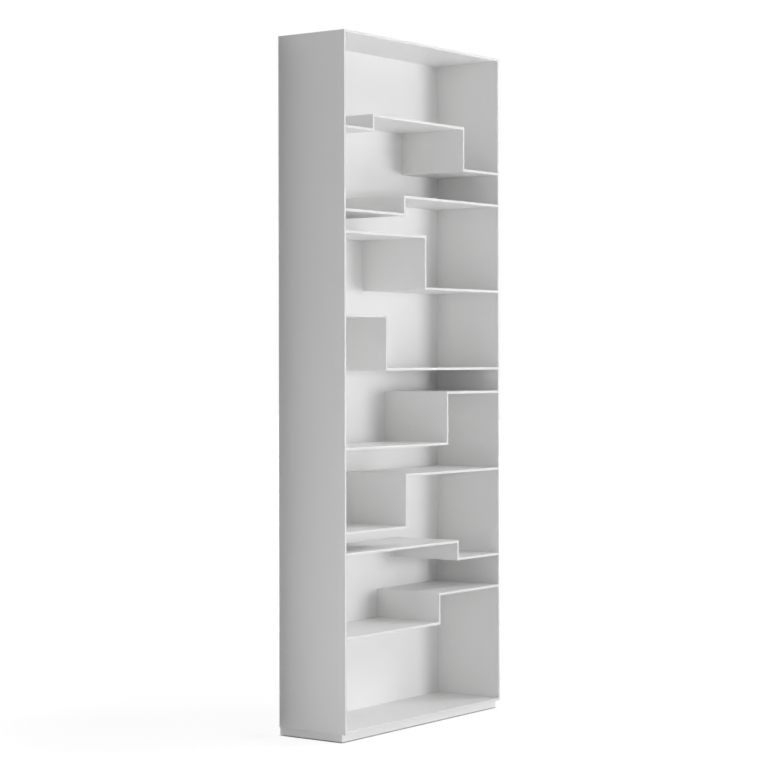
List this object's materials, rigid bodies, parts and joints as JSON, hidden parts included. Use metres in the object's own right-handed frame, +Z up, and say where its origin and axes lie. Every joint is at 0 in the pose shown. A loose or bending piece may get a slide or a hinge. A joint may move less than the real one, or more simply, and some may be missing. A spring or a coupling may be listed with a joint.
{
  "type": "staircase bookshelf",
  "caption": "Tall shallow bookcase: a thin mitred case whose full-width shelves step up and down like stairs, on a low plinth with levelling feet.",
  "frame": {"origin": "on the floor, under the middle of the case", "axes": "+X to the right as seen from the front, +Y from the open front to the back, +Z up"},
  "size_m": [0.868, 0.26, 2.218],
  "materials": {
    "white_lacquer": "matt white lacquer on fibreboard",
    "block_wood": "planed beech",
    "zinc_plated_steel": "bright zinc plating",
    "pad_plastic": "black nylon"
  },
  "bodies": {
    "case": {"back_left_corner_block": "block_wood", "back_panel": "white_lacquer", "back_panel_screws": "zinc_plated_steel", "back_right_corner_block": "block_wood", "bottom_panel": "white_lacquer", "foot_sleeves": "zinc_plated_steel", "front_left_corner_block": "block_wood", "front_right_corner_block": "block_wood", "left_side_panel": "white_lacquer", "left_wall_bracket": "zinc_plated_steel", "plinth_back_rail": "white_lacquer", "plinth_front_rail": "white_lacquer", "plinth_left_rail": "white_lacquer", "plinth_right_rail": "white_lacquer", "right_side_panel": "white_lacquer", "right_wall_bracket": "zinc_plated_steel", "shelf_1_left_riser": "white_lacquer", "shelf_1_left_tread": "white_lacquer", "shelf_1_middle_tread": "white_lacquer", "shelf_1_right_riser": "white_lacquer", "shelf_1_right_tread": "white_lacquer", "shelf_2_left_tread": "white_lacquer", "shelf_2_right_tread": "white_lacquer", "shelf_2_riser": "white_lacquer", "shelf_3_left_tread": "white_lacquer", "shelf_3_right_tread": "white_lacquer", "shelf_3_riser": "white_lacquer", "shelf_4_left_tread": "white_lacquer", "shelf_4_right_tread": "white_lacquer", "shelf_4_riser": "white_lacquer", "shelf_5_left_tread": "white_lacquer", "shelf_5_right_tread": "white_lacquer", "shelf_5_riser": "white_lacquer", "shelf_6_left_tread": "white_lacquer", "shelf_6_right_tread": "white_lacquer", "shelf_6_riser": "white_lacquer", "shelf_7_left_tread": "white_lacquer", "shelf_7_right_tread": "white_lacquer", "shelf_7_riser": "white_lacquer", "shelf_8_left_tread": "white_lacquer", "shelf_8_right_tread": "white_lacquer", "shelf_8_riser": "white_lacquer", "top_panel": "white_lacquer", "wall_bracket_screws": "zinc_plated_steel"},
    "front_left_pad": {"front_left_foot_pad": "pad_plastic"},
    "front_left_stem": {"front_left_foot_stem": "zinc_plated_steel"},
    "front_right_pad": {"front_right_foot_pad": "pad_plastic"},
    "front_right_stem": {"front_right_foot_stem": "zinc_plated_steel"},
    "back_left_pad": {"back_left_foot_pad": "pad_plastic"},
    "back_left_stem": {"back_left_foot_stem": "zinc_plated_steel"},
    "back_right_pad": {"back_right_foot_pad": "pad_plastic"},
    "back_right_stem": {"back_right_foot_stem": "zinc_plated_steel"}
  },
  "joints": [
    {"name": "front_left_foot_height", "type": "slide", "parent": "case", "child": "front_left_pad", "axis": [0, 0, 1], "range_m": [-0.008, 0]},
    {"name": "front_left_foot_turn", "type": "hinge", "parent": "front_left_pad", "child": "front_left_stem", "pos_m": [-0.394, -0.078, 0.005], "axis": [0, 0, 1], "range_deg": [-2305, 0]},
    {"name": "front_right_foot_height", "type": "slide", "parent": "case", "child": "front_right_pad", "axis": [0, 0, 1], "range_m": [-0.008, 0]},
    {"name": "front_right_foot_turn", "type": "hinge", "parent": "front_right_pad", "child": "front_right_stem", "pos_m": [0.394, -0.078, 0.005], "axis": [0, 0, 1], "range_deg": [-2305, 0]},
    {"name": "back_left_foot_height", "type": "slide", "parent": "case", "child": "back_left_pad", "axis": [0, 0, 1], "range_m": [-0.008, 0]},
    {"name": "back_left_foot_turn", "type": "hinge", "parent": "back_left_pad", "child": "back_left_stem", "pos_m": [-0.394, 0.092, 0.005], "axis": [0, 0, 1], "range_deg": [-2305, 0]},
    {"name": "back_right_foot_height", "type": "slide", "parent": "case", "child": "back_right_pad", "axis": [0, 0, 1], "range_m": [-0.008, 0]},
    {"name": "back_right_foot_turn", "type": "hinge", "parent": "back_right_pad", "child": "back_right_stem", "pos_m": [0.394, 0.092, 0.005], "axis": [0, 0, 1], "range_deg": [-2305, 0]}
  ],
  "couplings": [
    {"joint": "front_left_foot_turn", "follows": "front_left_foot_height", "rad_per_m": 5026.5},
    {"joint": "front_right_foot_turn", "follows": "front_right_foot_height", "rad_per_m": 5026.5},
    {"joint": "back_left_foot_turn", "follows": "back_left_foot_height", "rad_per_m": 5026.5},
    {"joint": "back_right_foot_turn", "follows": "back_right_foot_height", "rad_per_m": 5026.5}
  ]
}
